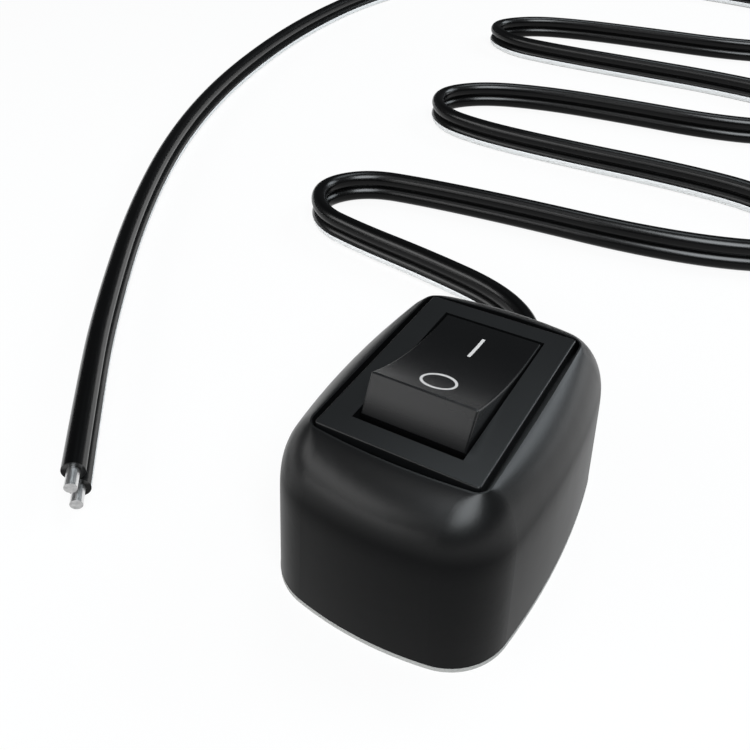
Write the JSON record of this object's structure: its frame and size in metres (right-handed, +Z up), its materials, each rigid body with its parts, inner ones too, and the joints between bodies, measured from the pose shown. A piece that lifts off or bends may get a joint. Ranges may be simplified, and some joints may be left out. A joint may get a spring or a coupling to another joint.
{
  "type": "wired push button switch",
  "caption": "Small black table switch: rounded stick-down housing with an inset two-position rocker and a flat twin-lobe cord with bare tinned ends, for switching a low-voltage lamp line.",
  "frame": {"origin": "on the floor under the middle of the housing", "axes": "+Z up out of the bezel, +Y along the housing's length towards the cord, +X to the right"},
  "size_m": [0.1304, 0.2371, 0.0199],
  "materials": {
    "black_shell": "satin moulded",
    "black_plate": "matt moulded",
    "pad_foam": "matt foam",
    "steel_screw": "zinc plated",
    "black_frame": "satin moulded",
    "black_rocker": "satin moulded",
    "white_plunger": "smooth",
    "spring_steel": "drawn wire",
    "copper_alloy": "rolled strip",
    "contact_metal": "smooth",
    "brass_terminal": "rolled strip",
    "black_core": "semi-gloss",
    "sleeve_clear": "smooth",
    "black_cord": "semi-gloss",
    "tinned_wire": "tinned"
  },
  "bodies": {
    "housing": {"housing_shell": "black_shell", "base_plate": "black_plate", "adhesive_pad": "pad_foam", "base_screws": "steel_screw", "switch_frame": "black_frame", "fixed_contact": "contact_metal", "common_terminal": "brass_terminal", "load_terminal": "brass_terminal", "core_lead_a": "black_core", "core_lead_b": "black_core", "lead_sleeve_a": "sleeve_clear", "lead_sleeve_b": "sleeve_clear", "cable_clamp": "black_plate", "clamp_screws": "steel_screw", "cord": "black_cord", "conductor_a": "tinned_wire", "conductor_b": "tinned_wire"},
    "rocker": {"rocker": "black_rocker", "plunger_spring": "spring_steel"},
    "plunger": {"plunger": "white_plunger"},
    "lever": {"contact_lever": "copper_alloy", "moving_contact": "contact_metal"}
  },
  "joints": [
    {"name": "rocker_hinge", "type": "hinge", "parent": "housing", "child": "rocker", "pos_m": [0, 0, 0.01215], "axis": [1, 0, 0], "range_deg": [0, 22.54]},
    {"name": "plunger_slide", "type": "slide", "parent": "rocker", "child": "plunger", "axis": [0, 0.1954, 0.9807], "range_m": [0, 0.0006], "stiffness_N_per_m": 400, "deforming": ["plunger_spring"]},
    {"name": "lever_hinge", "type": "hinge", "parent": "housing", "child": "lever", "pos_m": [0, 0, 0.0078], "axis": [1, 0, 0], "range_deg": [-12, 0]}
  ],
  "couplings": [
    {"joint": "lever_hinge", "follows": "rocker_hinge", "ratio": -0.5323}
  ]
}
